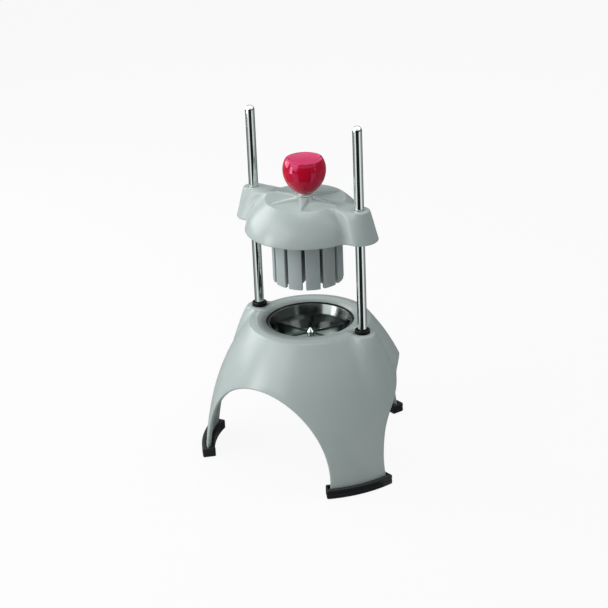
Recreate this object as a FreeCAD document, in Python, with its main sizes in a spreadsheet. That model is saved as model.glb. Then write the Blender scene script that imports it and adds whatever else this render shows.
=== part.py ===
"""Fruit wedger press: a three-legged housing, a lift-out blade cartridge and a press head on two rods.

Millimetres. +X runs along the line of the two guide rods, -Y is the front, +Z is up and z = 0 is the
counter. The origin is the middle of the footprint, and the press axis stands `axis_forward` in front of
it. Each piece is drawn about its own axis from its own seat, and its Placement takes it to its place.
"""

import FreeCAD, Part
import math
import os

import Sketcher

SIZES = {
    "axis_forward": 16.4,  # from the origin to the press axis
    "past": 1.0,  # how far a cutting tool runs past the face that it opens
    # guide rods
    "rod_spacing": 150.0,
    "rod_diameter": 11.0,
    "rod_top": 416.0,  # above the counter
    "rod_stud_diameter": 8.0,
    "running_gap": 0.05,  # radial, between a rod and its bush
    "fit_gap": 0.1,  # radial, between a rod, stud or screw and the hole it passes through
    # housing
    "deck_top": 167.0,
    "deck_radius": 69.4,  # flat part of the deck
    "deck_shoulder": 3.5,  # rounding from the deck to the skirt
    "skirt_slope": 0.8,  # outward per downward, under the shoulder
    "skirt_foot_slope": 0.12,
    "skirt_radius": 131.5,  # at the leg ends
    "housing_wall": 5.0,
    "deck_ear_land": 3.6,  # flat part of an ear beyond the boss that holds the rod
    "deck_ear_shoulder": 3.7,
    "deck_ear_slope": 0.52,
    "deck_ear_fade": 3.0,  # how far inside the skirt an ear's tip ends at the leg ends
    "deck_ear_flare": 9.0,  # degrees that an ear's flanks open towards the press axis
    "deck_valley_blend": 5.0,  # softening where an ear runs into the round form
    "arch_height": 114.5,
    "arch_spring": 8.0,  # height of the straight sides that the oval stands on
    "arch_edge": 1.4,  # rounding of the arches' outer edges
    "leg_angle": 33.8,  # degrees between two arches at the leg ends
    "rod_boss_wall": 3.4,
    "rod_boss_depth": 30.0,  # below the deck top
    "rod_shelf": 4.0,  # floor of the boss, which the rod's shoulder stands on
    "well_wall": 4.5,
    "well_depth": 12.0,  # deck top to the ledge
    "ledge_width": 4.8,
    "ledge_thickness": 4.0,
    # feet
    "foot_end_angle": 0.8,  # degrees that each end wall spans
    "foot_end_gap": 0.1,  # degrees between a leg and each end wall
    "foot_side": 4.5,
    "foot_sole": 4.0,
    "foot_height": 11.5,
    "foot_edge": 1.8,
    "foot_gap": 0.3,
    # rod fixings and bumpers
    "washer_radius": 8.0,
    "washer_thickness": 1.6,
    "nut_flats": 13.0,
    "nut_height": 6.5,
    "stud_proud": 2.0,
    "bumper_wall": 3.2,
    "bumper_height": 4.2,
    "bumper_dish_width": 1.4,
    "bumper_dish_depth": 1.2,
    "bumper_edge": 1.2,
    # blade cartridge
    "blade_bore": 43.5,  # clear radius over the blades
    "blade_ring_wall": 3.4,  # below the ledge
    "cartridge_gap": 0.3,  # radial, between the cartridge and the well
    "seat_ring_wall": 2.5,
    "seat_ring_web": 3.0,
    "seat_ring_recess": 1.5,  # below the deck top
    "blade_ring_rim": 1.2,  # width of the rim on top of the funnel
    "blade_ring_recess": 1.0,  # below the seat ring's top
    "funnel_depth": 11.0,
    "blade_ring_depth": 30.0,
    "blade_count": 6,
    "blade_thickness": 0.8,
    "blade_height": 16.0,
    "blade_bevel": 2.5,
    "blade_tip": 0.1,
    "blade_seat": 1.5,  # depth of the slots in the ring
    "blade_slot_gap": 0.05,
    "hub_radius": 4.5,
    "hub_slot": 1.8,
    "hub_point": 5.0,
    "clamp_thickness": 2.5,
    "clamp_screw_count": 3,
    "clamp_screw_radius": 1.0,
    "clamp_screw_length": 8.0,
    "clamp_head_radius": 1.6,
    "clamp_head_height": 1.0,
    # press head
    "head_rim": 281.5,
    "head_height": 36.3,
    "head_radius": 45.4,  # flat part of the top
    "head_shoulder": 2.5,
    "head_slope": 1.25,
    "head_rim_slope": 0.2,
    "head_rim_radius": 71.0,
    "head_wall": 4.5,
    "head_edge": 1.2,  # rounding of the rim's outer edge
    "head_ear_radius": 10.0,  # flat part of an ear, about the rod
    "head_ear_shoulder": 2.5,
    "head_ear_slope": 0.3,
    "head_ear_rim": 21.5,  # about the rod
    "head_ear_flare": 3.0,
    "head_valley_blend": 5.0,
    "head_boss_wall": 3.4,
    "head_rod_gap": 0.6,
    "hub_boss_radius": 13.5,
    "hub_boss_height": 4.0,
    "hub_post_radius": 14.0,
    "rib_count": 6,
    "rib_reach": 41.0,
    "rib_width": 9.0,
    "rib_tip_width": 4.0,
    "rib_step": 0.4,  # from the hub's top down to a rib's
    "rib_tip_height": 0.4,
    # plunger
    "plunger_gap": 2.5,  # radial, between the plunger and the blade bore
    "plunger_seat": 20.5,  # from the head's rim up to the face that carries the plunger
    "plunger_height": 82.0,
    "plunger_wall": 4.5,
    "plunger_plate": 6.0,
    "core_gap": 1.5,  # radial, between the stud's washer and the stiffening ribs
    "slot_count": 12,
    "slot_width": 4.0,
    "finger_rib": 3.0,
    "finger_edge": 0.8,
    # bushes
    "bush_wall": 2.5,
    "bush_length": 26.0,
    "bush_flange": 1.5,
    "bush_flange_width": 1.5,
    "bush_recess": 0.5,  # above the head's rim
    # knob and its stud
    "knob_radius": 24.8,
    "knob_height": 41.0,
    "knob_waist": 27.2,  # height of the widest place
    "knob_neck_radius": 9.3,
    "knob_face_radius": 18.0,
    "knob_edge_radius": 22.0,
    "knob_edge_depth": 2.5,  # from the top face down to the edge's rounding
    "knob_edge_round": 4.0,
    "insert_wall": 2.0,
    "collar_radius": 8.7,
    "collar_height": 3.5,
    "collar_flange_radius": 11.5,
    "collar_flange": 1.2,
    "stud_radius": 5.0,
    "stud_engagement": 18.0,  # length of the stud inside the knob
    "stud_end_gap": 2.0,
    "stud_nut_flats": 17.0,
    "stud_nut_height": 8.0,
    "stud_washer_radius": 10.5,
    "stud_washer": 2.0,
    # plunger screws
    "screw_count": 3,
    "screw_circle": 25.0,
    "screw_radius": 2.0,
    "screw_length": 12.0,
    "screw_head_radius": 3.8,
    "screw_head_height": 2.6,
    "screw_boss_radius": 5.0,
    "screw_end_gap": 2.0,
}
SHARED = {  # what several pieces share, written in the sizes above
    "rod_across": "rod_spacing / 2",
    "rod_radius": "rod_diameter / 2",
    "rod_hole": "rod_radius + fit_gap",
    "rod_boss_radius": "rod_hole + rod_boss_wall",
    "deck_ear_radius": "rod_boss_radius + deck_ear_land",
    "bumper_radius": "rod_hole + bumper_wall",
    "bumper_dish_radius": "rod_hole + bumper_dish_width",
    "arch_half_width": "skirt_radius * sin(60 - leg_angle / 2)",
    "foot_socket_angle": "leg_angle + 2 * foot_end_gap",
    "blade_ring_radius": "blade_bore + blade_ring_wall",
    "ledge_radius": "blade_ring_radius + cartridge_gap",
    "well_radius": "ledge_radius + ledge_width",
    "seat_ring_radius": "well_radius - cartridge_gap",
    "seat_ring_inside": "seat_ring_radius - seat_ring_wall",
    "clamp_circle": "(blade_bore + blade_ring_radius) / 2",
    "ledge_top": "deck_top - well_depth",
    "boss_foot": "deck_top - rod_boss_depth",
    "blade_ring_foot": "deck_top - seat_ring_recess - blade_ring_recess - blade_ring_depth",
    "head_top": "head_rim + head_height",
    "plunger_radius": "blade_bore - plunger_gap",
    "plunger_inside": "plunger_radius - plunger_wall",
    "plunger_core": "stud_washer_radius + core_gap",
    "plunger_top": "head_rim + plunger_seat",
    "plate_foot": "plunger_top - plunger_plate",
    "bush_foot": "head_rim + bush_recess",
    "bush_bore": "rod_radius + running_gap",
    "bush_radius": "bush_bore + bush_wall",
    "bush_flange_radius": "bush_radius + bush_flange_width",
    "head_boss_radius": "bush_radius + head_boss_wall",
    "hub_top": "head_top + hub_boss_height",
    "stud_hole": "stud_radius + fit_gap",
    "insert_radius": "stud_radius + insert_wall",
    "insert_length": "stud_engagement + stud_end_gap",
    "knob_foot": "hub_top + collar_height",
    "knob_edge_height": "knob_height - knob_edge_depth",
}
LEGS = {"front_right_foot": -30, "front_left_foot": -150, "rear_foot": 90}
SIDES = {"right": "", "left": "-"}
nodes = []

doc = FreeCAD.newDocument("wedger_press")
sheet = doc.addObject("Spreadsheet::Sheet", "Sizes")


def fill_sheet():
    cells = {**SIZES, **{alias: "=" + formula for alias, formula in SHARED.items()}}
    for row, (alias, content) in enumerate(cells.items(), 1):
        sheet.set("A%d" % row, alias)
        sheet.set("B%d" % row, str(content))
        sheet.setAlias("B%d" % row, alias)
    doc.recompute()


def number(expression):
    """The present value of an expression of the sheet's sizes."""
    value = sheet.evalExpression(str(expression))
    return float(getattr(value, "Value", value))


def size(name):
    return number("Sizes." + name)


def bind(item, **expressions):
    """Binds properties to expressions; a double underscore in a name stands for a dot."""
    for name, expression in expressions.items():
        item.setExpression(name.replace("__", "."), str(expression))


def place(item, across="0", back="0", up="0", turn="0"):
    """Binds where an item stands: across along X, back along Y, up along Z, turned about its own Z."""
    item.Placement = FreeCAD.Placement(FreeCAD.Vector(), FreeCAD.Rotation(FreeCAD.Vector(0, 0, 1), 1.0))
    bind(item, Placement__Base__x=across, Placement__Base__y=back, Placement__Base__z=up)
    bind(item, Placement__Rotation__Angle=turn)
    return item


def node(item, label, across="0", up="0", turn="0"):
    """Names a finished sub-part and puts it in its place beside or on the press axis."""
    item.Label = label
    place(item, across, "-Sizes.axis_forward", up, turn)
    nodes.append(item)


# ---- Part primitives and booleans


def cylinder(radius, height, up="0", across="0", back="0"):
    item = doc.addObject("Part::Cylinder", "cylinder")
    bind(item, Radius=radius, Height=height)
    return place(item, across, back, up)


def hexagon(flats, height, up="0", across="0"):
    item = doc.addObject("Part::Prism", "hexagon")
    item.Polygon = 6
    bind(item, Circumradius="(%s) / sqrt(3)" % flats, Height=height)
    return place(item, across, "0", up)


def fuse(*items):
    item = doc.addObject("Part::MultiFuse", "joined")
    item.Shapes = list(items)
    return item


def cut(base, *tools):
    item = doc.addObject("Part::Cut", "cut")
    item.Base = base
    item.Tool = tools[0] if len(tools) == 1 else fuse(*tools)
    return item


def group(*items):
    item = doc.addObject("Part::Compound", "group")
    item.Links = list(items)
    return item


def around(count, make, offset="0"):
    """Pieces that make(turn) builds at equal turns about the press axis."""
    return [make("(%s) + %d * 360 / %s" % (offset, k, count)) for k in range(round(number(count)))]


def on_circle(radius, turn):
    """Where a turn puts a point of a circle, as expressions across and back."""
    return "(%s) * cos(%s)" % (radius, turn), "(%s) * sin(%s)" % (radius, turn)


# ---- sketches and PartDesign bodies


def origin_feature(body, role):
    return next(f for f in body.Origin.OriginFeatures if f.Role == role)


def arc_between(start, end, radius):
    """An arc from start to end, counter-clockwise if the radius is positive and clockwise if negative."""
    chord = end - start
    left = FreeCAD.Vector(-chord.y, chord.x, 0).normalize()
    depth = math.sqrt(max(radius**2 - (chord.Length / 2) ** 2, 0))
    centre = (start + end) / 2 + left * math.copysign(depth, radius)
    ends = (start, end) if radius > 0 else (end, start)
    angles = [math.atan2(point.y - centre.y, point.x - centre.x) for point in ends]
    circle = Part.Circle(centre, FreeCAD.Vector(0, 0, 1), abs(radius))
    return Part.ArcOfCircle(circle, *angles)


def hold(sketch, kind, geometry, end, expression):
    """Holds a sketch point at a bound distance across (DistanceX) or up (DistanceY) from the centre."""
    value = number(expression)
    if str(expression) == "0":
        axis = -2 if kind == "DistanceX" else -1
        sketch.addConstraint(Sketcher.Constraint("PointOnObject", geometry, end, axis))
        return
    index = sketch.addConstraint(Sketcher.Constraint(kind, -1, 1, geometry, end, value))
    sketch.setExpression("Constraints[%d]" % index, str(expression))


def outline(body, plane, points, shift="0", turn="0"):
    """A closed sketch through points (across, up[, radius]); a radius bends the edge that leads there."""
    sketch = body.newObject("Sketcher::SketchObject", "outline")
    sketch.AttachmentSupport = [(origin_feature(body, plane), "")]
    sketch.MapMode = "FlatFace"
    turned_about = FreeCAD.Rotation(FreeCAD.Vector(0, 0, 1), 1.0)
    sketch.AttachmentOffset = FreeCAD.Placement(FreeCAD.Vector(), turned_about)
    bind(sketch, AttachmentOffset__Base__z=shift, AttachmentOffset__Rotation__Angle=turn)
    spots = [FreeCAD.Vector(number(p[0]), number(p[1]), 0) for p in points]
    bends = [p[2] if len(p) > 2 else None for p in points[1:] + points[:1]]
    ends = []
    for i, bend in enumerate(bends):
        start, end = spots[i], spots[(i + 1) % len(spots)]
        if bend is None:
            sketch.addGeometry(Part.LineSegment(start, end), False)
        else:
            sketch.addGeometry(arc_between(start, end, number(bend)), False)
        ends.append((2, 1) if bend is not None and number(bend) < 0 else (1, 2))
    for i in range(len(points)):
        j = (i + 1) % len(points)
        sketch.addConstraint(Sketcher.Constraint("Coincident", i, ends[i][1], j, ends[j][0]))
    for i, (point, bend) in enumerate(zip(points, bends)):
        hold(sketch, "DistanceX", i, ends[i][0], point[0])
        hold(sketch, "DistanceY", i, ends[i][0], point[1])
        if bend is not None:
            index = sketch.addConstraint(Sketcher.Constraint("Radius", i, abs(number(bend))))
            sketch.setExpression("Constraints[%d]" % index, "abs(%s)" % bend)
    return sketch


def turned(points, angle="360"):
    """A body turned about its own Z from a closed outline of (radius, height) points."""
    body = doc.addObject("PartDesign::Body", "body")
    sketch = outline(body, "XZ_Plane", points)
    feature = body.newObject("PartDesign::Revolution", "turned")
    feature.Profile = sketch
    feature.ReferenceAxis = (sketch, ["V_Axis"])
    feature.Midplane = True
    bind(feature, Angle=angle)
    return body


def pad(body, sketch, length):
    feature = body.newObject("PartDesign::Pad", "pad")
    feature.Profile = sketch
    bind(feature, Length=length)
    return feature


def pocket_up(body, sketch, length):
    """Cuts upward from a sketch on the body's base plane, and makes sure that something was cut."""
    doc.recompute()
    before = body.Shape.Volume
    feature = body.newObject("PartDesign::Pocket", "pocket")
    feature.Profile = sketch
    feature.Reversed = True
    bind(feature, Length=length)
    doc.recompute()
    if body.Shape.Volume >= before:
        raise RuntimeError("a pocket of %s cuts nothing" % body.Label)
    return feature


def repeat(body, feature, count):
    """Repeats a body's feature at equal turns about the body's Z axis."""
    pattern = body.newObject("PartDesign::PolarPattern", "repeat")
    pattern.Originals = [feature]
    pattern.Axis = (origin_feature(body, "Z_Axis"), [""])
    pattern.Angle = 360
    bind(pattern, Occurrences=count)
    body.Tip = pattern
    return pattern


def strip(body, near, far, width, turn="0"):
    """A rectangle on the base plane, from near to far along a turned line and evenly across it."""
    half = "(%s) / 2" % width
    points = [(near, "-" + half), (far, "-" + half), (far, half), (near, half)]
    return outline(body, "XY_Plane", points, turn=turn)


# ---- the two moulded forms: a round skirt with an ear about each rod


class Flank:
    """How far a wall reaches at each drop below the top: level, round any shoulder, then an even sweep."""

    def __init__(self, flat, shoulder, slope, foot, foot_slope, depth):
        self.flat, self.shoulder, self.slope = flat, shoulder, slope
        self.foot, self.foot_slope, self.depth = foot, foot_slope, depth
        lean = math.hypot(1, slope)
        self.turn = shoulder * (1 - slope / lean)
        self.start = flat + shoulder / lean

    def reach(self, drop):
        if drop < self.turn:
            return self.flat + math.sqrt(self.shoulder**2 - (self.shoulder - drop) ** 2)
        sweep = self.depth - self.turn
        u = (drop - self.turn) / sweep
        start = (2 * u**3 - 3 * u**2 + 1) * self.start + (u**3 - 2 * u**2 + u) * sweep * self.slope
        end = (3 * u**2 - 2 * u**3) * self.foot + (u**3 - u**2) * sweep * self.foot_slope
        return start + end

    def inside(self, wall):
        """The parallel flank at one wall's thickness, with a plain corner at its own top a wall lower."""
        corner = self.flat + (self.shoulder - wall) * (math.hypot(1, self.slope) - self.slope)
        foot = self.foot - wall * math.hypot(1, self.foot_slope)
        return Flank(corner, 0, self.slope, foot, self.foot_slope, self.depth - wall)


def soft_greater(a, b, blend):
    overlap = max(blend - abs(a - b), 0) / blend
    return max(a, b) + overlap**2 * blend / 4


def ear_reach(turn, centre, radius, flare):
    """Distance from the press axis to an ear's edge: an arc about the rod, then flaring straight flanks."""
    tangent = math.atan2(radius * math.cos(flare), centre + radius * math.sin(flare))
    if turn < tangent:
        return centre * math.cos(turn) + math.sqrt(radius**2 - (centre * math.sin(turn)) ** 2)
    return (radius + centre * math.sin(flare)) / math.sin(turn + flare)


def level_outline(skirt, ear, drop, flare, blend):
    """The closed curve of a form at one drop below its top."""
    centre = size("rod_across")
    quarter = 20
    turns = [math.pi / 2 * (i / quarter) ** 1.6 for i in range(quarter + 1)]
    reaches = [
        soft_greater(skirt.reach(drop), ear_reach(t, centre, ear.reach(drop) - centre, flare), blend)
        for t in turns
    ]
    first = [(r * math.cos(t), r * math.sin(t)) for r, t in zip(reaches, turns)]
    half = first + [(-x, y) for x, y in first[-2::-1]]
    loop = half + [(x, -y) for x, y in half[-2:0:-1]]
    loop = loop[quarter:] + loop[:quarter]  # so that the seam runs down the rear leg, clear of the arches
    curve = Part.BSplineCurve()
    curve.interpolate([FreeCAD.Vector(x, y, -drop) for x, y in loop], PeriodicFlag=True)
    return Part.Wire(curve.toShape())


def moulded(name, skirt, ear, webs, past=0.0):
    """A solid lofted through the level outlines, from its top at z = 0 to `past` below its foot."""
    flare, blend = math.radians(size(webs + "_ear_flare")), size(webs + "_valley_blend")
    turn = max(skirt.turn, ear.turn)
    shoulder_levels, flank_levels = 5 if turn else 0, 8
    drops = [turn * (1 - math.cos(math.pi / 2 * k / shoulder_levels)) for k in range(shoulder_levels)]
    bottom = skirt.depth + past
    drops += [turn + (bottom - turn) * k / flank_levels for k in range(flank_levels + 1)]
    item = doc.addObject("Part::Feature", name)
    item.Shape = Part.makeLoft([level_outline(skirt, ear, drop, flare, blend) for drop in drops], True)
    return item


def shell(name, forms, wall, top, kept):
    """A moulded form less its hollow, whose top is one wall lower; the `kept` pieces stay in the hollow."""
    outside = place(moulded(name + "_outside", *forms, name), up="Sizes." + top)
    inner_forms = [form.inside(size(wall)) for form in forms]
    inside = moulded(name + "_inside", *inner_forms, name, past=size("past"))
    return cut(outside, cut(place(inside, up="Sizes.%s - Sizes.%s" % (top, wall)), *kept))


def is_among(edge, faces):
    return any(edge.isSame(other) for face in faces for other in face.Edges)


def skin_edges(item, touches):
    """Numbers of the edges that the outer skin shares with the faces that `touches` picks."""
    doc.recompute()
    sculpted = [face for face in item.Shape.Faces if isinstance(face.Surface, Part.BSplineSurface)]
    skin = max(sculpted, key=lambda face: face.Area)
    chosen = [face for face in item.Shape.Faces if touches(face)]
    numbered = enumerate(item.Shape.Edges, 1)
    return [number for number, edge in numbered if is_among(edge, [skin]) and is_among(edge, chosen)]


def rounded(item, radius, edges):
    fillet = doc.addObject("Part::Fillet", "rounded")
    fillet.Base = item
    fillet.Edges = [(number, size(radius), size(radius)) for number in edges]
    return fillet


# ---- housing


def housing_forms():
    depth = size("deck_top") - size("foot_sole")
    skirt = Flank(
        size("deck_radius"), size("deck_shoulder"), size("skirt_slope"),
        size("skirt_radius"), size("skirt_foot_slope"), depth,
    )
    ear = Flank(
        size("rod_across") + size("deck_ear_radius"), size("deck_ear_shoulder"), size("deck_ear_slope"),
        size("skirt_radius") - size("deck_ear_fade"), size("skirt_foot_slope"), depth,
    )
    return skirt, ear


def oval(high, wide):
    """An upright ellipse, longer either way, about a point at the height where the arches spring."""
    tall = number(high) > number(wide)
    item = doc.addObject("Part::Ellipse", "oval")
    longer, shorter = ((0, 0, -1), (1, 0, 0)) if tall else ((1, 0, 0), (0, 0, 1))
    axes = [FreeCAD.Vector(*axis) for axis in (longer, shorter, (0, -1, 0))]
    item.Placement = FreeCAD.Placement(FreeCAD.Vector(), FreeCAD.Rotation(*axes))
    bind(item, MajorRadius=high if tall else wide, MinorRadius=wide if tall else high)
    bind(item, Placement__Base__z="Sizes.arch_spring")
    return item


def arch_cutter(turn):
    """An oval on straight sides, run outwards from the press axis."""
    head = doc.addObject("Part::Extrusion", "arch_head")
    head.Base = oval("Sizes.arch_height - Sizes.arch_spring", "Sizes.arch_half_width")
    head.DirMode = "Custom"
    head.Dir = FreeCAD.Vector(0, -1, 0)
    head.Solid = True
    bind(head, LengthFwd="2 * Sizes.skirt_radius")
    sides = doc.addObject("Part::Box", "arch_sides")
    bind(sides, Length="2 * Sizes.arch_half_width", Width="2 * Sizes.skirt_radius",
         Height="Sizes.arch_spring + Sizes.past")
    place(sides, "-Sizes.arch_half_width", "-2 * Sizes.skirt_radius", "-Sizes.past")
    return place(fuse(head, sides), turn=turn)


def is_arch_wall(face):
    if isinstance(face.Surface, Part.Plane):
        return abs(face.Surface.Axis.z) < 0.5
    return isinstance(face.Surface, Part.SurfaceOfExtrusion)


def make_housing():
    well_foot = "Sizes.ledge_top - Sizes.ledge_thickness"
    into_wall = "Sizes.housing_wall / 2"
    well_height = "Sizes.well_depth + Sizes.ledge_thickness - " + into_wall
    kept = [cylinder("Sizes.well_radius + Sizes.well_wall", well_height, well_foot)]
    ledge_depth = "Sizes.ledge_thickness + 2 * Sizes.past"
    bores = [
        cylinder("Sizes.well_radius", "Sizes.well_depth + Sizes.past", "Sizes.ledge_top"),
        cylinder("Sizes.ledge_radius", ledge_depth, well_foot + " - Sizes.past"),
    ]
    for sign in SIDES.values():
        across = sign + "Sizes.rod_across"
        boss_height = "Sizes.rod_boss_depth - " + into_wall
        kept.append(cylinder("Sizes.rod_boss_radius", boss_height, "Sizes.boss_foot", across))
        shelf = "Sizes.boss_foot + Sizes.rod_shelf"
        bores.append(cylinder("Sizes.rod_hole", "Sizes.rod_boss_depth", shelf, across))
        stud = "Sizes.rod_stud_diameter / 2 + Sizes.fit_gap"
        bores.append(cylinder(stud, "Sizes.rod_boss_depth", "Sizes.boss_foot - Sizes.past", across))
    walls = shell("deck", housing_forms(), "housing_wall", "deck_top", kept)
    housing = cut(walls, *bores, *around("3", arch_cutter))
    node(rounded(housing, "arch_edge", skin_edges(housing, is_arch_wall)), "base_housing")


def make_feet():
    skirt, _ = housing_forms()
    inside = skirt.inside(size("housing_wall"))
    inside_at_rim = inside.reach(size("deck_top") - size("housing_wall") - size("foot_height"))
    outer = "Sizes.skirt_radius + Sizes.foot_gap"
    inner = "%r - Sizes.foot_gap" % inside_at_rim
    outer_side, inner_side = outer + " + Sizes.foot_side", inner + " - Sizes.foot_side"
    rim = "Sizes.foot_height + Sizes.past"
    for label, turn in LEGS.items():
        block = turned([
            (inner_side, "0"), (outer_side, "0"),
            (outer_side, "Sizes.foot_height"), (inner_side, "Sizes.foot_height"),
        ], "Sizes.foot_socket_angle + 2 * Sizes.foot_end_angle")
        doc.recompute()
        soft_block = rounded(block, "foot_edge", range(1, len(block.Shape.Edges) + 1))
        socket = turned([
            (inner, "Sizes.foot_sole"), (outer, "Sizes.foot_sole"), (outer, rim), (inner, rim),
        ], "Sizes.foot_socket_angle")
        node(cut(soft_block, socket), label, turn=turn)


def make_rods():
    stud = "Sizes.rod_stud_diameter / 2"
    stud_length = "(Sizes.rod_shelf + Sizes.washer_thickness + Sizes.nut_height + Sizes.stud_proud)"
    foot = "Sizes.boss_foot + Sizes.rod_shelf - %s" % stud_length
    height = "(Sizes.rod_top - (%s))" % foot
    for side, sign in SIDES.items():
        rod = turned([
            ("0", "0"), (stud, "0"), (stud, stud_length), ("Sizes.rod_radius", stud_length),
            ("Sizes.rod_radius", "%s - Sizes.rod_radius" % height), ("0", height, "Sizes.rod_radius"),
        ])
        node(rod, "guide_rod_" + side, sign + "Sizes.rod_across", foot)


def make_bumpers():
    dish = "Sizes.bumper_height - Sizes.bumper_dish_depth"
    dish_foot = "Sizes.bumper_dish_radius - Sizes.bumper_dish_depth / 2"
    for side, sign in SIDES.items():
        bumper = turned([
            ("Sizes.rod_hole", "0"), ("Sizes.bumper_radius", "0"),
            ("Sizes.bumper_radius", "Sizes.bumper_height - Sizes.bumper_edge"),
            ("Sizes.bumper_radius - Sizes.bumper_edge", "Sizes.bumper_height", "Sizes.bumper_edge"),
            ("Sizes.bumper_dish_radius", "Sizes.bumper_height"), (dish_foot, dish), ("Sizes.rod_hole", dish),
        ])
        node(bumper, "rod_bumper_" + side, sign + "Sizes.rod_across", "Sizes.deck_top")


def make_rod_fixings():
    stud = "Sizes.rod_stud_diameter / 2"
    washers, nuts = [], []
    for sign in SIDES.values():
        across = sign + "Sizes.rod_across"
        ring = cylinder("Sizes.washer_radius", "Sizes.washer_thickness", "0", across)
        hole = cylinder(stud + " + Sizes.fit_gap", "Sizes.washer_thickness", "0", across)
        washers.append(cut(ring, hole))
        nut = hexagon("Sizes.nut_flats", "Sizes.nut_height", "0", across)
        nuts.append(cut(nut, cylinder(stud, "Sizes.nut_height", "0", across)))
    washer_foot = "Sizes.boss_foot - Sizes.washer_thickness"
    node(group(*washers), "rod_washers", up=washer_foot)
    node(group(*nuts), "rod_nuts", up=washer_foot + " - Sizes.nut_height")


# ---- blade cartridge


def make_seat_ring():
    height = "Sizes.well_depth - Sizes.seat_ring_recess"
    ring = turned([
        ("Sizes.ledge_radius", "0"), ("Sizes.seat_ring_radius", "0"), ("Sizes.seat_ring_radius", height),
        ("Sizes.seat_ring_inside", height), ("Sizes.seat_ring_inside", "Sizes.seat_ring_web"),
        ("Sizes.ledge_radius", "Sizes.seat_ring_web"),
    ])
    node(ring, "seat_ring", up="Sizes.ledge_top")


def blade_slots(body, inner, outer, height):
    """Slots that the blades' ends stand in, open below."""
    slot = strip(body, inner, outer, "Sizes.blade_thickness + 2 * Sizes.blade_slot_gap")
    repeat(body, pocket_up(body, slot, height), "Sizes.blade_count")


def make_blade_ring():
    rim = "Sizes.seat_ring_inside - Sizes.fit_gap"
    web = "Sizes.ledge_top + Sizes.seat_ring_web - Sizes.blade_ring_foot"
    top = "Sizes.blade_ring_depth"
    ring = turned([
        ("Sizes.blade_bore", "0"), ("Sizes.blade_ring_radius", "0"), ("Sizes.blade_ring_radius", web),
        (rim, web), (rim, top), (rim + " - Sizes.blade_ring_rim", top),
        ("Sizes.blade_bore", top + " - Sizes.funnel_depth"),
    ])
    blade_slots(ring, "Sizes.blade_bore - Sizes.past", "Sizes.blade_bore + Sizes.blade_seat",
                "Sizes.blade_height")
    node(cut(ring, *on_clamp_circle(clamp_pilot)), "blade_ring", up="Sizes.blade_ring_foot")


def on_clamp_circle(make):
    """Pieces between the blades, where the clamp's screws are."""
    return around("Sizes.clamp_screw_count", make, "180 / Sizes.blade_count")


def clamp_pilot(turn):
    """The hole for a clamp screw, up into the ring from its foot."""
    depth = "Sizes.clamp_screw_length - Sizes.clamp_thickness + Sizes.screw_end_gap + Sizes.past"
    return cylinder("Sizes.clamp_screw_radius", depth, "-Sizes.past", *on_circle("Sizes.clamp_circle", turn))


def make_blades():
    """Radial blades between the hub and the ring; the bevel on top is the cutting edge."""
    half, tip = "Sizes.blade_thickness / 2", "Sizes.blade_tip / 2"
    shoulder = "Sizes.blade_height - Sizes.blade_bevel"
    near = "Sizes.hub_radius - Sizes.hub_slot + Sizes.blade_slot_gap"
    far = "Sizes.blade_bore + Sizes.blade_seat - Sizes.blade_slot_gap"
    for k in range(round(size("blade_count"))):
        body = doc.addObject("PartDesign::Body", "blade")
        section = outline(body, "YZ_Plane", [
            ("-" + half, "0"), (half, "0"), (half, shoulder), (tip, "Sizes.blade_height"),
            ("-" + tip, "Sizes.blade_height"), ("-" + half, shoulder),
        ], shift=near)
        pad(body, section, "%s - (%s)" % (far, near))
        turn = "%d * 360 / Sizes.blade_count" % k
        node(body, "wedge_blade_%d" % (k + 1), up="Sizes.blade_ring_foot", turn=turn)


def make_blade_hub():
    height = "Sizes.blade_height + Sizes.hub_point"
    hub = turned([
        ("0", "0"), ("Sizes.hub_radius", "0"), ("Sizes.hub_radius", "Sizes.blade_height"), ("0", height),
    ])
    blade_slots(hub, "Sizes.hub_radius - Sizes.hub_slot", "Sizes.hub_radius + Sizes.past", height)
    node(hub, "blade_hub", up="Sizes.blade_ring_foot")


def clamp_hole(turn):
    radius = "Sizes.clamp_screw_radius + Sizes.fit_gap"
    return cylinder(radius, "Sizes.clamp_thickness", "0", *on_circle("Sizes.clamp_circle", turn))


def clamp_screw(turn):
    across, back = on_circle("Sizes.clamp_circle", turn)
    head = cylinder("Sizes.clamp_head_radius", "Sizes.clamp_head_height", "0", across, back)
    length = "Sizes.clamp_head_height + Sizes.clamp_screw_length"
    return fuse(head, cylinder("Sizes.clamp_screw_radius", length, "0", across, back))


def make_clamp():
    ring = cylinder("Sizes.blade_ring_radius", "Sizes.clamp_thickness")
    bore = cylinder("Sizes.blade_bore", "Sizes.clamp_thickness")
    foot = "Sizes.blade_ring_foot - Sizes.clamp_thickness"
    node(cut(ring, bore, *on_clamp_circle(clamp_hole)), "clamp_ring", up=foot)
    node(group(*on_clamp_circle(clamp_screw)), "clamp_screws", up=foot + " - Sizes.clamp_head_height")


# ---- press head


def head_forms():
    depth = size("head_height")
    skirt = Flank(
        size("head_radius"), size("head_shoulder"), size("head_slope"),
        size("head_rim_radius"), size("head_rim_slope"), depth,
    )
    ear = Flank(
        size("rod_across") + size("head_ear_radius"), size("head_ear_shoulder"), size("head_ear_slope"),
        size("rod_across") + size("head_ear_rim"), size("head_ear_slope"), depth,
    )
    return skirt, ear


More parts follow.
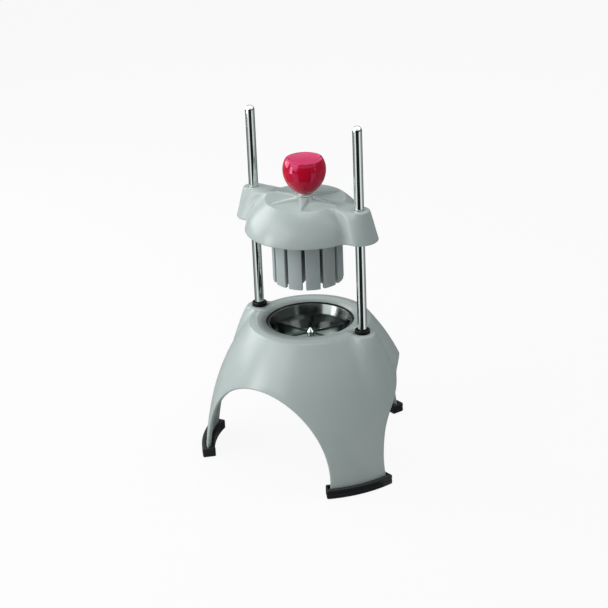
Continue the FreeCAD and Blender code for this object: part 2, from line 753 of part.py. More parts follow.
def rib(turn):
    """A rib on top of the head, falling and narrowing from the hub outwards."""
    item = doc.addObject("Part::Wedge", "rib")
    half, tip = "Sizes.rib_width / 2", "Sizes.rib_tip_width / 2"
    bind(item, Xmin="-" + half, Xmax=half, X2min="-" + tip, X2max=tip)
    bind(item, Zmin="-Sizes.head_wall / 2", Z2min="-Sizes.head_wall / 2")
    bind(item, Zmax="Sizes.hub_boss_height - Sizes.rib_step", Z2max="Sizes.rib_tip_height")
    bind(item, Ymin="Sizes.hub_boss_radius / 2", Ymax="Sizes.rib_reach")
    return place(item, up="Sizes.head_top", turn=turn)


def on_screw_circle(make):
    return around("Sizes.screw_count", make)


def screw_boss(turn):
    height = "Sizes.head_top - Sizes.head_wall / 2 - Sizes.plunger_top"
    place_on_circle = on_circle("Sizes.screw_circle", turn)
    return cylinder("Sizes.screw_boss_radius", height, "Sizes.plunger_top", *place_on_circle)


def screw_pilot(turn):
    depth = "Sizes.screw_length - Sizes.plunger_plate + Sizes.screw_end_gap + Sizes.past"
    foot = "Sizes.plunger_top - Sizes.past"
    return cylinder("Sizes.screw_radius", depth, foot, *on_circle("Sizes.screw_circle", turn))


def screw_hole(turn):
    """The hole for a screw through the plunger's plate, drawn about the plunger's foot."""
    depth = "Sizes.plunger_plate + 2 * Sizes.past"
    foot = "Sizes.plunger_height - Sizes.plunger_plate - Sizes.past"
    radius = "Sizes.screw_radius + Sizes.fit_gap"
    return cylinder(radius, depth, foot, *on_circle("Sizes.screw_circle", turn))


def plunger_screw(turn):
    across, back = on_circle("Sizes.screw_circle", turn)
    head = cylinder("Sizes.screw_head_radius", "Sizes.screw_head_height", "0", across, back)
    length = "Sizes.screw_head_height + Sizes.screw_length"
    return fuse(head, cylinder("Sizes.screw_radius", length, "0", across, back))


def is_head_rim(face):
    return face.BoundBox.ZMax < size("head_rim") + Part.Precision.confusion()


def make_head():
    into_wall = "Sizes.head_wall / 2"
    post_height = "Sizes.head_top - %s - Sizes.plunger_top" % into_wall
    boss_foot = "(Sizes.bush_foot + Sizes.bush_flange)"
    hub_foot = "Sizes.head_top - " + into_wall
    hub = cylinder("Sizes.hub_boss_radius", "Sizes.hub_boss_height + " + into_wall, hub_foot)
    kept = [
        cylinder("Sizes.hub_post_radius", post_height, "Sizes.plunger_top"),
        *on_screw_circle(screw_boss),
    ]
    bores = [
        cylinder("Sizes.stud_hole", "2 * Sizes.head_height", "Sizes.plunger_top - Sizes.past"),
        *on_screw_circle(screw_pilot),
    ]
    for sign in SIDES.values():
        across = sign + "Sizes.rod_across"
        boss_height = "Sizes.head_top - %s - %s" % (into_wall, boss_foot)
        kept.append(cylinder("Sizes.head_boss_radius", boss_height, boss_foot, across))
        seat_depth = "Sizes.bush_length - Sizes.bush_flange + Sizes.past"
        bores.append(cylinder("Sizes.bush_radius", seat_depth, boss_foot + " - Sizes.past", across))
        hole = "Sizes.rod_radius + Sizes.head_rod_gap"
        bores.append(cylinder(hole, "2 * Sizes.head_height", "Sizes.head_rim", across))
    walls = shell("head", head_forms(), "head_wall", "head_top", kept)
    ribs = around("Sizes.rib_count", rib, "180 / Sizes.rib_count")
    head = cut(fuse(walls, hub, *ribs), *bores)
    node(rounded(head, "head_edge", skin_edges(head, is_head_rim)), "press_head")


def make_bushes():
    for side, sign in SIDES.items():
        bush = turned([
            ("Sizes.bush_bore", "0"), ("Sizes.bush_flange_radius", "0"),
            ("Sizes.bush_flange_radius", "Sizes.bush_flange"), ("Sizes.bush_radius", "Sizes.bush_flange"),
            ("Sizes.bush_radius", "Sizes.bush_length"), ("Sizes.bush_bore", "Sizes.bush_length"),
        ])
        node(bush, "guide_bush_" + side, sign + "Sizes.rod_across", "Sizes.bush_foot")


def make_plunger():
    plate = "(Sizes.plunger_height - Sizes.plunger_plate)"
    cup = turned([
        ("Sizes.stud_hole", plate), ("Sizes.plunger_inside", plate), ("Sizes.plunger_inside", "0"),
        ("Sizes.plunger_radius - Sizes.finger_edge", "0"),
        ("Sizes.plunger_radius", "Sizes.finger_edge", "Sizes.finger_edge"),
        ("Sizes.plunger_radius", "Sizes.plunger_height"), ("Sizes.stud_hole", "Sizes.plunger_height"),
    ])
    into_wall = "Sizes.plunger_inside + Sizes.plunger_wall / 2"
    stiffener = strip(cup, "Sizes.plunger_core", into_wall, "Sizes.finger_rib", "180 / Sizes.slot_count")
    repeat(cup, pad(cup, stiffener, plate + " + Sizes.plunger_plate / 2"), "Sizes.slot_count")
    past_wall = "Sizes.plunger_radius + Sizes.past"
    slot = strip(cup, "Sizes.plunger_core", past_wall, "Sizes.slot_width")
    repeat(cup, pocket_up(cup, slot, plate), "Sizes.slot_count")
    foot = "Sizes.plunger_top - Sizes.plunger_height"
    node(cut(cup, *on_screw_circle(screw_hole)), "plunger", up=foot)
    screws_foot = "Sizes.plate_foot - Sizes.screw_head_height"
    node(group(*on_screw_circle(plunger_screw)), "plunger_screws", up=screws_foot)


def bulge(out, rise):
    """Radius of an arc that starts upright and moves `out` sideways over `rise`."""
    return "((%s)^2 + (%s)^2) / (2 * (%s))" % (out, rise, out)


def make_knob():
    belly = bulge("Sizes.knob_radius - Sizes.knob_neck_radius", "Sizes.knob_waist")
    brow = bulge("Sizes.knob_radius - Sizes.knob_edge_radius", "Sizes.knob_edge_height - Sizes.knob_waist")
    knob = turned([
        ("Sizes.insert_radius", "0"), ("Sizes.knob_neck_radius", "0"),
        ("Sizes.knob_radius", "Sizes.knob_waist", belly),
        ("Sizes.knob_edge_radius", "Sizes.knob_edge_height", brow),
        ("Sizes.knob_face_radius", "Sizes.knob_height", "Sizes.knob_edge_round"),
        ("0", "Sizes.knob_height"), ("0", "Sizes.insert_length"),
        ("Sizes.insert_radius", "Sizes.insert_length"),
    ])
    node(knob, "knob", up="Sizes.knob_foot")
    insert = turned([
        ("Sizes.stud_radius", "0"), ("Sizes.insert_radius", "0"),
        ("Sizes.insert_radius", "Sizes.insert_length"), ("Sizes.stud_radius", "Sizes.insert_length"),
    ])
    node(insert, "knob_insert", up="Sizes.knob_foot")


def make_knob_collar():
    collar = turned([
        ("Sizes.stud_hole", "0"), ("Sizes.collar_flange_radius", "0"),
        ("Sizes.collar_flange_radius", "Sizes.collar_flange"), ("Sizes.collar_radius", "Sizes.collar_flange"),
        ("Sizes.collar_radius", "Sizes.collar_height"), ("Sizes.stud_hole", "Sizes.collar_height"),
    ])
    node(collar, "knob_collar", up="Sizes.hub_top")


def make_knob_stud():
    washer_foot = "Sizes.plate_foot - Sizes.stud_washer"
    nut_foot = washer_foot + " - Sizes.stud_nut_height"
    stud_foot = nut_foot + " - Sizes.stud_proud"
    length = "Sizes.knob_foot + Sizes.stud_engagement - (%s)" % stud_foot
    node(cylinder("Sizes.stud_radius", length), "knob_stud", up=stud_foot)
    ring = cylinder("Sizes.stud_washer_radius", "Sizes.stud_washer")
    node(cut(ring, cylinder("Sizes.stud_hole", "Sizes.stud_washer")), "stud_washer", up=washer_foot)
    nut = hexagon("Sizes.stud_nut_flats", "Sizes.stud_nut_height")
    node(cut(nut, cylinder("Sizes.stud_radius", "Sizes.stud_nut_height")), "stud_nut", up=nut_foot)


# ---- the whole press


def check_and_write():
    doc.recompute()
    faults = [o.Label for o in doc.Objects if {"Invalid", "Error"} & set(o.State)]
    faults += [n.Label for n in nodes if n.Shape.isNull() or not n.Shape.isValid() or not n.Shape.Solids]
    if faults:
        raise RuntimeError("failed: " + ", ".join(faults))
    os.makedirs("parts", exist_ok=True)
    for item in nodes:
        item.Shape.exportStep("parts/%s.step" % item.Label)
        box = item.Shape.BoundBox
        print("%-18s %2d solid(s) %9.1f mm3" % (item.Label, len(item.Shape.Solids), item.Shape.Volume),
              "x %.1f..%.1f y %.1f..%.1f z %.1f..%.1f" % (
                  box.XMin, box.XMax, box.YMin, box.YMax, box.ZMin, box.ZMax))


fill_sheet()
make_housing()
make_feet()
make_rods()
make_bumpers()
make_rod_fixings()
make_seat_ring()
make_blade_ring()
make_blades()
make_blade_hub()
make_clamp()
make_head()
make_bushes()
make_plunger()
make_knob()
make_knob_collar()
make_knob_stud()
check_and_write()
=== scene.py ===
"""Looks of the fruit wedger press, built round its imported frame.

Lengths are in millimetres and angles in degrees, unless said. The nodes' noise scales and the sizes of the lamps
are in metres, as Blender's are.
"""

import math

import bmesh
import bpy
from mathutils import Matrix, Vector


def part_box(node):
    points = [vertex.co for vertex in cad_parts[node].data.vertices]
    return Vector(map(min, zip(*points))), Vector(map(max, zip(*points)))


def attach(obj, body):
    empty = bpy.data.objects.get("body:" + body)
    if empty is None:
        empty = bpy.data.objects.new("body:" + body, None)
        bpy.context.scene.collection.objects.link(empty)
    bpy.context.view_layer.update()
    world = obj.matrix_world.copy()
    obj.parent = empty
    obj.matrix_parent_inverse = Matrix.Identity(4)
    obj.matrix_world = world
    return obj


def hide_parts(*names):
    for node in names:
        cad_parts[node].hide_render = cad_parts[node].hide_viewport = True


MM = 0.001
AXIS_BACK = -16.4  # the press axis, along Y
JOINED = 0.000001  # vertices closer than this, in metres, are one

ROD_ACROSS = 75.0
ROD_RADIUS = 5.5
ROD_THREAD_RADIUS = 4.0
ROD_SHOULDER = 141.0  # height of the step down to the rods' threaded ends
ROD_END_STEPS = 16

BUMPER_INNER, BUMPER_OUTER, BUMPER_HEIGHT = 5.6, 8.8, 4.2
BUMPER_DISH = 1.2  # how deep the bumper's top is dished round the rod

KNOB_FOOT, KNOB_WIDEST, KNOB_SHOULDER = 9.3, 24.8, 22.0  # radii
KNOB_WIDEST_UP, KNOB_SHOULDER_UP, KNOB_TOP_UP = 27.2, 38.5, 40.5
KNOB_BORE, KNOB_BORE_DEPTH = 6.8, 20.0

NECK_BORE, NECK_RADIUS, NECK_HEIGHT = 5.2, 8.7, 3.5
NECK_FLANGE_RADIUS, NECK_FLANGE_HEIGHT = 11.5, 1.2

SEAT_BORE, SEAT_LIP, SEAT_RADIUS = 47.3, 49.2, 51.7
SEAT_HEIGHT, SEAT_FLOOR = 10.5, 3.0
CUP_BORE, CUP_RADIUS, CUP_MOUTH, CUP_FLANGE = 43.5, 46.9, 47.9, 49.1
CUP_FLANGE_HEIGHT, CUP_FLARE = 6.5, 11.0

FINGERS = 12
FINGER_OUTER, FINGER_INNER, FINGER_CORE = 41.0, 36.5, 12.0
FINGER_HALF_SLOT, FINGER_HALF_RIB = 2.0, 1.5
PLATE_BORE, PLATE_THICK, PLATE_OVERLAP = 5.1, 6.0, 0.1

LEGS = {"front_right_foot": -30, "front_left_foot": -150, "rear_foot": 90}  # where each leg points
FOOT_INNER, FOOT_OUTER, FOOT_HALF_ANGLE = 120.85, 136.25, 17.8
FOOT_ROUNDING, FOOT_STEPS, FOOT_ROUND_STEPS = 1.6, 24, 5
GROOVE_DEPTH, GROOVE_HALF_MOUTH, GROOVE_HALF_FLOOR = 0.8, 0.9, 0.3
SOCKET_INNER, SOCKET_OUTER, SOCKET_HALF_ANGLE = 125.35, 131.8, 17.0
SOCKET_FLOOR, SOCKET_TOP = 4.0, 20.0

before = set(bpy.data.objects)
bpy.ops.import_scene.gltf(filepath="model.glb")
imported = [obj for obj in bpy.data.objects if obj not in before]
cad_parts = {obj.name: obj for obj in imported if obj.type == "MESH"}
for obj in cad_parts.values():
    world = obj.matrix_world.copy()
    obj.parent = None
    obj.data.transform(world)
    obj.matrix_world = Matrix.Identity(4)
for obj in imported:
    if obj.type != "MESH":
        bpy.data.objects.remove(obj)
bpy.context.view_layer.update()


# ---- materials


class Nodes:
    """A short way to write the nodes of a material or of the world."""

    def __init__(self, name, world=False):
        self.owner = (bpy.data.worlds if world else bpy.data.materials).new(name)
        self.owner.use_nodes = True
        self.tree = self.owner.node_tree
        self.tree.nodes.clear()

    def add(self, kind, **inputs):
        node = self.tree.nodes.new("ShaderNode" + kind)
        for key, value in inputs.items():
            self.put(node.inputs[key.replace("_", " ")], value)
        return node

    def put(self, socket, value):
        if isinstance(value, bpy.types.NodeSocket):
            self.tree.links.new(value, socket)
        else:
            socket.default_value = value

    def maths(self, operation, first, second):
        node = self.add("Math")
        node.operation = operation
        self.put(node.inputs[0], first)
        self.put(node.inputs[1], second)
        return node.outputs[0]

    def unlit(self):
        """1 for the camera's rays and those that metal and glass send on, 0 for light."""
        rays = self.add("LightPath").outputs
        seen = self.maths("MAXIMUM", rays["Is Camera Ray"], rays["Is Glossy Ray"])
        return self.maths("MAXIMUM", seen, rays["Is Transmission Ray"])

    def shared(self, factor, first, second):
        """Two shaders mixed: all the second one where the factor is 1."""
        node = self.add("MixShader", Fac=factor)
        self.put(node.inputs[1], first.outputs[0])
        self.put(node.inputs[2], second.outputs[0])
        return node

    def place(self, stretch=(1, 1, 1)):
        """Object coordinates in metres, stretched."""
        coordinates = self.add("TexCoord")
        mapping = self.add("Mapping", Vector=coordinates.outputs["Object"], Scale=stretch)
        return mapping.outputs["Vector"]

    def noise(self, scale, detail=3.0, stretch=(1, 1, 1)):
        node = self.add("TexNoise", Vector=self.place(stretch), Scale=scale, Detail=detail)
        return node.outputs["Fac"]

    def between(self, factor, low, high):
        """A factor about 0.5, such as noise, drawn out to run from low to high."""
        node = self.add("MapRange", Value=factor)
        node.inputs["From Min"].default_value = 0.3
        node.inputs["From Max"].default_value = 0.7
        self.put(node.inputs["To Min"], low)
        self.put(node.inputs["To Max"], high)
        return node.outputs["Result"]

    def mixed(self, factor, first, second):
        node = self.add("Mix")
        node.data_type = "RGBA"
        self.put(node.inputs["Factor"], factor)
        self.put(node.inputs[6], first)
        self.put(node.inputs[7], second)
        return node.outputs[2]

    def bumped(self, height, distance, strength):
        node = self.add("Bump", Height=height, Distance=distance, Strength=strength)
        return node.outputs["Normal"]

    def shade(self, shader, kind="OutputMaterial"):
        """Puts the shader to use, and gives back the material or world."""
        output = self.add(kind)
        self.put(output.inputs["Surface"], shader.outputs[0])
        return self.owner

    def finish(self, **inputs):
        return self.shade(self.add("BsdfPrincipled", **inputs))


def colour(red, green, blue):
    """A colour given as it looks on screen, made linear."""
    parts = [c / 12.92 if c <= 0.04045 else ((c + 0.055) / 1.055) ** 2.4 for c in (red, green, blue)]
    return (*parts, 1.0)


def moulded_grey():
    """Satin grey moulding: a faint orange peel and slightly uneven sheen."""
    n = Nodes("moulded_grey")
    tone = n.mixed(n.between(n.noise(14), 0.0, 1.0), colour(0.65, 0.695, 0.682), colour(0.662, 0.706, 0.693))
    peel = n.bumped(n.noise(1400, 2), 0.00005, 0.3)
    sheen = n.between(n.noise(60, 1), 0.275, 0.285)
    return n.finish(Base_Color=tone, Roughness=sheen, Specular_IOR_Level=0.32, Normal=peel)


def plunger_grey():
    """The plunger's plainer moulding, a little bluer."""
    n = Nodes("plunger_grey")
    tone = n.mixed(n.between(n.noise(30), 0.0, 1.0), colour(0.61, 0.65, 0.645), colour(0.625, 0.665, 0.66))
    peel = n.bumped(n.noise(1800, 2), 0.00005, 0.3)
    return n.finish(Base_Color=tone, Roughness=n.between(n.noise(80), 0.36, 0.46), Normal=peel)


def collar_grey():
    """The neck's lighter grey, with a slight metallic sheen."""
    n = Nodes("collar_grey")
    tone = n.mixed(n.between(n.noise(50), 0.0, 1.0), colour(0.64, 0.64, 0.645), colour(0.67, 0.67, 0.675))
    return n.finish(Base_Color=tone, Roughness=n.between(n.noise(120), 0.3, 0.4), Metallic=0.4)


def rod_chrome():
    """Bright chrome, very slightly uneven in its polish."""
    n = Nodes("rod_chrome")
    polish = n.between(n.noise(60, 2, (1, 1, 0.1)), 0.055, 0.075)
    return n.finish(Base_Color=colour(0.86, 0.885, 0.88), Metallic=1.0, Roughness=polish)


def brushed_steel(name, low, high, stretch, tones=(0.75, 0.83)):
    """Steel with fine grain drawn out across the stretch, from low to high roughness."""
    n = Nodes(name)
    grain = n.noise(1500, 3, stretch)
    tone = n.mixed(n.between(grain, 0.0, 1.0), *(colour(0.95 * t, t, 0.98 * t) for t in tones))
    return n.finish(
        Base_Color=tone, Metallic=1.0, Roughness=n.between(n.noise(200), low, high),
        Normal=n.bumped(grain, 0.00002, 0.2),
    )


def knob_red():
    """Glossy crimson moulding, with a painted pink sheen on the faces that look up."""
    n = Nodes("knob_red")
    tone = n.mixed(n.between(n.noise(40), 0.0, 1.0), colour(0.71, 0.05, 0.16), colour(0.73, 0.055, 0.175))
    # Painted reflection: faces turned up are coloured pinker, standing for the sheen of the light above them.
    painted_top_sheen = n.add("SeparateXYZ", Vector=n.add("NewGeometry").outputs["Normal"]).outputs["Z"]
    tone = n.mixed(n.between(painted_top_sheen, -0.6, 0.85), tone, colour(0.88, 0.12, 0.4))
    return n.finish(
        Base_Color=tone, Roughness=n.between(n.noise(90), 0.1, 0.12), Specular_IOR_Level=0.5,
        Specular_Tint=(1.0, 0.45, 0.95, 1.0), Normal=n.bumped(n.noise(220, 1), 0.00006, 0.05),
    )


def rubber(name, dark, light, rough=0.6, gloss=0.25):
    """Moulded rubber: dark, with a fine matt grain."""
    n = Nodes(name)
    tone = n.mixed(n.between(n.noise(60), 0.0, 1.0), dark, light)
    return n.finish(
        Base_Color=tone, Roughness=n.between(n.noise(150), rough - 0.05, rough + 0.05),
        Specular_IOR_Level=gloss, Normal=n.bumped(n.noise(2200, 2), 0.00008, 0.4),
    )


def plain_metal(name, tone, low, high):
    """Plain metal with a fine matt grain, from low to high roughness."""
    n = Nodes(name)
    return n.finish(
        Base_Color=tone, Metallic=1.0, Roughness=n.between(n.noise(300), low, high),
        Normal=n.bumped(n.noise(1600, 2), 0.00003, 0.2),
    )


GREY = moulded_grey()
PLUNGER = plunger_grey()
COLLAR = collar_grey()
CHROME = rod_chrome()
BLADE = brushed_steel("blade_steel", 0.16, 0.26, (1, 1, 0.05))
# Painted shade: the cup's steel is toned darker than bare steel, standing for the shadow and the dark reflections
# inside it.
BOWL_PAINTED_SHADE = brushed_steel("bowl_steel_painted_shade", 0.14, 0.22, (1, 1, 0.2), (0.42, 0.47))
RED = knob_red()
RUBBER = rubber("black_rubber", colour(0.115, 0.13, 0.13), colour(0.13, 0.145, 0.145))
SEAT = rubber("black_plastic", colour(0.05, 0.055, 0.055), colour(0.065, 0.07, 0.07), 0.4, 0.13)
BUMPER = rubber("bumper_rubber", colour(0.04, 0.045, 0.045), colour(0.05, 0.055, 0.055), 0.5, 0.15)
ZINC = plain_metal("zinc", colour(0.72, 0.73, 0.72), 0.28, 0.42)
BRASS = plain_metal("brass", colour(0.80, 0.66, 0.36), 0.22, 0.34)
NYLON = rubber("nylon", colour(0.88, 0.88, 0.85), colour(0.92, 0.92, 0.90), 0.45, 0.5)


# ---- pieces


def made(name, mesh, material, body, slot, *nodes):
    """A piece in the scene, riding on its body and standing for its nodes."""
    piece = bpy.data.objects.new(name, mesh)
    bpy.context.collection.objects.link(piece)
    mesh.materials.clear()
    mesh.materials.append(material)
    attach(piece, body)
    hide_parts(*nodes)
    return piece


def smooth(mesh, angle=35.0):
    """Smooth shading, with edges sharper than the angle kept crisp."""
    mesh.shade_smooth()
    mesh.set_sharp_from_angle(angle=math.radians(angle))


def mesh_of(name, edit, angle=35.0):
    """A mesh made by an edit of an empty one, with smooth shading."""
    work = bmesh.new()
    edit(work)
    bmesh.ops.recalc_face_normals(work, faces=work.faces)
    mesh = bpy.data.meshes.new(name)
    work.to_mesh(mesh)
    work.free()
    smooth(mesh, angle)
    return mesh


def softened(profile, closed):
    """The points of a profile (across, up, rounding) with each corner rounded by its own radius."""
    points = []
    count, steps = len(profile), 5
    for i, (across, up, *rest) in enumerate(profile):
        corner = Vector((across, up))
        radius = rest[0] if rest else 0.0
        inner = closed or 0 < i < count - 1
        if radius <= 0 or not inner:
            points.append(corner)
            continue
        before = Vector(profile[i - 1][:2]) - corner
        after = Vector(profile[(i + 1) % count][:2]) - corner
        reach = min(radius / math.tan(before.angle(after) / 2), before.length * 0.49, after.length * 0.49)
        start, end = corner + before.normalized() * reach, corner + after.normalized() * reach
        for k in range(steps + 1):
            t = k / steps
            points.append(start * (1 - t) ** 2 + corner * 2 * t * (1 - t) + end * t**2)
    return points


def stitched(work, rings, around, along):
    """Fills between rings of vertices: round each ring, or past the last ring to the first, where asked."""
    pairs = list(zip(rings, rings[1:] + rings[:1])) if along else list(zip(rings, rings[1:]))
    count = len(rings[0])
    for one, two in pairs:
        for i in range(count if around else count - 1):
            j = (i + 1) % count
            work.faces.new((one[i], two[i], two[j], one[j]))


def capped(work, rings):
    """Fills the first and the last ring."""
    work.faces.new(rings[0])
    work.faces.new(list(reversed(rings[-1])))


def lathe(work, profile, closed=True, across=0.0, segments=128, span=None):
    """Adds a turned form to the mesh: all round, or over a span (first, last) with its ends filled."""
    points = softened(profile, closed)
    whole = span is None
    first, last = (0.0, 360.0) if whole else span
    stations = segments if whole else segments + 1
    turns = [math.radians(first + (last - first) * k / segments) for k in range(stations)]
    rings = []
    for turn in turns:
        ring = []
        for r, z in points:
            spot = Vector((across + r * math.cos(turn), AXIS_BACK + r * math.sin(turn), z)) * MM
            ring.append(work.verts.new(spot))
        rings.append(ring)
    stitched(work, rings, closed, whole)
    if not whole:
        capped(work, rings)
    bmesh.ops.remove_doubles(work, verts=work.verts, dist=JOINED)


def lifted(profile, foot):
    """A profile moved up to its foot."""
    return [(r, foot + z, *rest) for r, z, *rest in profile]


def skin(name, node, material, body, slot):
    """A node's own form as one joined skin with smooth shading, so that its mesh lines don't show."""

    def edit(work):
        work.from_mesh(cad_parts[node].data)
        bmesh.ops.remove_doubles(work, verts=work.verts, dist=2 * JOINED)

    return made(name, mesh_of(name, edit, 32), material, body, slot, node)


skin("housing_skin", "base_housing", GREY, "base", "moulded_grey")
skin("head_skin", "press_head", GREY, "press_carriage", "moulded_grey")


def make_rods():
    """Chromed rods with round tops and a thread below the shoulder."""
    for side, across in (("right", ROD_ACROSS), ("left", -ROD_ACROSS)):
        low, high = (corner.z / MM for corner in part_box("guide_rod_" + side))
        profile = [
            (0, low), (ROD_THREAD_RADIUS, low, 0.6), (ROD_THREAD_RADIUS, ROD_SHOULDER),
            (ROD_RADIUS, ROD_SHOULDER, 0.3),
        ]
        for k in range(ROD_END_STEPS + 1):
            rise = math.pi / 2 * k / ROD_END_STEPS
            profile.append((ROD_RADIUS * math.cos(rise), high - ROD_RADIUS * (1 - math.sin(rise))))
        mesh = mesh_of("rod_" + side, lambda work: lathe(work, profile, False, across, segments=64))
        made("rod_" + side, mesh, CHROME, "base", "rod_steel", "guide_rod_" + side)


def make_bumpers():
    """Rubber rings round the rods, dished on top."""
    for side, across in (("right", ROD_ACROSS), ("left", -ROD_ACROSS)):
        profile = [
            (BUMPER_INNER, 0), (BUMPER_OUTER, 0, 0.2), (BUMPER_OUTER, BUMPER_HEIGHT, 1.2),
            (7.0, BUMPER_HEIGHT, 0.4), (6.4, BUMPER_HEIGHT - BUMPER_DISH, 0.3),
            (BUMPER_INNER, BUMPER_HEIGHT - BUMPER_DISH, 0.2),
        ]
        profile = lifted(profile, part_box("rod_bumper_" + side)[0].z / MM)
        mesh = mesh_of("bumper_" + side, lambda work: lathe(work, profile, True, across, segments=64), 50)
        made("bumper_" + side, mesh, BUMPER, "base", "black_rubber", "rod_bumper_" + side)


def swell(narrow, rise, away):
    """How far out the knob's side stands, away from its widest ring: an arc that is narrow at the full rise."""
    out = KNOB_WIDEST - narrow
    radius = (out**2 + rise**2) / (2 * out)
    return KNOB_WIDEST - radius + math.sqrt(radius**2 - away**2)


def make_knob():
    """The turned grip: a foot, a long swell, a shorter one above it, and a low rim round a flat top."""
    lower_steps, upper_steps = 24, 8
    shoulder_rise = KNOB_SHOULDER_UP - KNOB_WIDEST_UP
    profile = [(KNOB_BORE, 0), (KNOB_FOOT, 0, 0.4)]
    for k in range(1, lower_steps + 1):
        up = KNOB_WIDEST_UP * k / lower_steps
        profile.append((swell(KNOB_FOOT, KNOB_WIDEST_UP, KNOB_WIDEST_UP - up), up))
    for k in range(1, upper_steps + 1):
        up = KNOB_WIDEST_UP + shoulder_rise * k / upper_steps
        profile.append((swell(KNOB_SHOULDER, shoulder_rise, up - KNOB_WIDEST_UP), up))
    profile += [
        (21.3, KNOB_TOP_UP - 0.5, 1.2), (18.6, KNOB_TOP_UP + 0.5, 1.0), (16.6, KNOB_TOP_UP, 0.8), (0, KNOB_TOP_UP),
        (0, KNOB_BORE_DEPTH), (KNOB_BORE, KNOB_BORE_DEPTH),
    ]
    profile = lifted(profile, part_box("knob")[0].z / MM)
    mesh = mesh_of("knob_grip", lambda work: lathe(work, profile, True), 50)
    grip = made("knob_grip", mesh, RED, "press_carriage", "knob_red", "knob")
    grip.visible_glossy = grip.visible_diffuse = False  # the rods and the head show the studio alone


def make_collar():
    """The short neck under the knob, with a flange at its foot."""
    profile = [
        (NECK_BORE, 0), (NECK_FLANGE_RADIUS, 0, 0.3), (NECK_FLANGE_RADIUS, NECK_FLANGE_HEIGHT, 0.5),
        (NECK_RADIUS, NECK_FLANGE_HEIGHT, 0.6), (NECK_RADIUS, NECK_HEIGHT, 0.4), (NECK_BORE, NECK_HEIGHT),
    ]
    profile = lifted(profile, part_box("knob_collar")[0].z / MM)
    mesh = mesh_of("knob_neck", lambda work: lathe(work, profile, True, segments=96), 50)
    made("knob_neck", mesh, COLLAR, "press_carriage", "collar_grey", "knob_collar")


def make_rings():
    """The black ring in the deck, and the steel cup that stands in it."""
    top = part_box("seat_ring")[1].z / MM
    foot = top - SEAT_HEIGHT
    seat = [
        (SEAT_BORE, foot, 0.2), (SEAT_RADIUS, foot, 0.3), (SEAT_RADIUS, top, 1.0), (SEAT_LIP, top, 0.8),
        (SEAT_LIP, foot + SEAT_FLOOR, 0.2), (SEAT_BORE, foot + SEAT_FLOOR, 0.2),
    ]
    mesh = mesh_of("seat_trim", lambda work: lathe(work, seat, segments=160), 50)
    made("seat_trim", mesh, SEAT, "blade_cartridge", "black_plastic", "seat_ring")
    low, top = (corner.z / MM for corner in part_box("blade_ring"))
    ring = [
        (CUP_BORE, low, 0.3), (CUP_RADIUS, low, 0.3), (CUP_RADIUS, top - CUP_FLANGE_HEIGHT),
        (CUP_FLANGE, top - CUP_FLANGE_HEIGHT), (CUP_FLANGE, top, 0.5), (CUP_MOUTH, top, 0.5),
        (CUP_BORE, top - CUP_FLARE, 1.5),
    ]
    mesh = mesh_of("blade_cup", lambda work: lathe(work, ring, segments=160), 40)
    made("blade_cup", mesh, BOWL_PAINTED_SHADE, "blade_cartridge", "blade_steel", "blade_ring")


def finger_outline(turn):
    """The level section of one plunger finger: an arc of wall between two slots, with its stiffener inside."""
    arc_steps, inner_steps, outer_rounding, inner_rounding = 8, 4, 1.3, 0.6
    half_pitch = math.pi / FINGERS

    def arc(radius, first, last, steps, rounding):
        """Points along an arc, with its first and last ones rounded."""
        turns = [first + (last - first) * k / steps for k in range(steps + 1)]
        roundings = [rounding] + [0.0] * (steps - 1) + [rounding]
        return [(radius * math.cos(t), radius * math.sin(t), soft) for t, soft in zip(turns, roundings)]

    outer_turn, inner_turn = (
        half_pitch - math.asin(FINGER_HALF_SLOT / radius) for radius in (FINGER_OUTER, FINGER_INNER)
    )
    rib_turn = math.asin(FINGER_HALF_RIB / FINGER_INNER)
    points = arc(FINGER_OUTER, -outer_turn, outer_turn, arc_steps, outer_rounding)
    points += arc(FINGER_INNER, inner_turn, rib_turn, inner_steps, inner_rounding)
    points += [(FINGER_CORE, FINGER_HALF_RIB, 0.0), (FINGER_CORE, -FINGER_HALF_RIB, 0.0)]
    points += arc(FINGER_INNER, -rib_turn, -inner_turn, inner_steps, inner_rounding)
    swing = Matrix.Rotation(turn, 2)
    return [swing @ point for point in softened(points, True)]


def make_plunger():
    """A round plate with a ring of fingers under it."""
    low, high = (corner.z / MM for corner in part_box("plunger"))
    under = high - PLATE_THICK
    foot_bevel = 0.4 * MM

    def edit(work):
        plate = [
            (PLATE_BORE, under, 0.2), (FINGER_OUTER, under, 0.2),
            (FINGER_OUTER, high, 0.4), (PLATE_BORE, high, 0.2),
        ]
        lathe(work, plate, segments=144)
        for k in range(FINGERS):
            points = finger_outline(math.pi / FINGERS * (2 * k + 1))
            lower, upper = (
                [work.verts.new(Vector((x, AXIS_BACK + y, z)) * MM) for x, y in points]
                for z in (low, under + PLATE_OVERLAP)
            )
            foot = work.faces.new(lower)
            work.faces.new(list(reversed(upper)))
            for a, b, c, d in zip(lower, lower[1:] + lower[:1], upper[1:] + upper[:1], upper):
                work.faces.new((a, b, c, d))
            bmesh.ops.bevel(
                work, geom=list(foot.edges), offset=foot_bevel, segments=2, profile=0.5, affect="EDGES"
            )

    mesh = mesh_of("press_fingers", edit, 40)
    made("press_fingers", mesh, PLUNGER, "press_carriage", "moulded_grey", "plunger")


def foot_section(height):
    """The upright section of a foot's block: rounded, with a groove along its outer face."""
    middle, groove = height / 2, FOOT_OUTER - GROOVE_DEPTH
    corners = [
        (FOOT_INNER, 0, FOOT_ROUNDING), (FOOT_OUTER, 0, FOOT_ROUNDING),
        (FOOT_OUTER, middle - GROOVE_HALF_MOUTH, 0.6), (groove, middle - GROOVE_HALF_FLOOR, 0.3),
        (groove, middle + GROOVE_HALF_FLOOR, 0.3), (FOOT_OUTER, middle + GROOVE_HALF_MOUTH, 0.6),
        (FOOT_OUTER, height, FOOT_ROUNDING), (FOOT_INNER, height, FOOT_ROUNDING),
    ]
    return softened(corners, True)


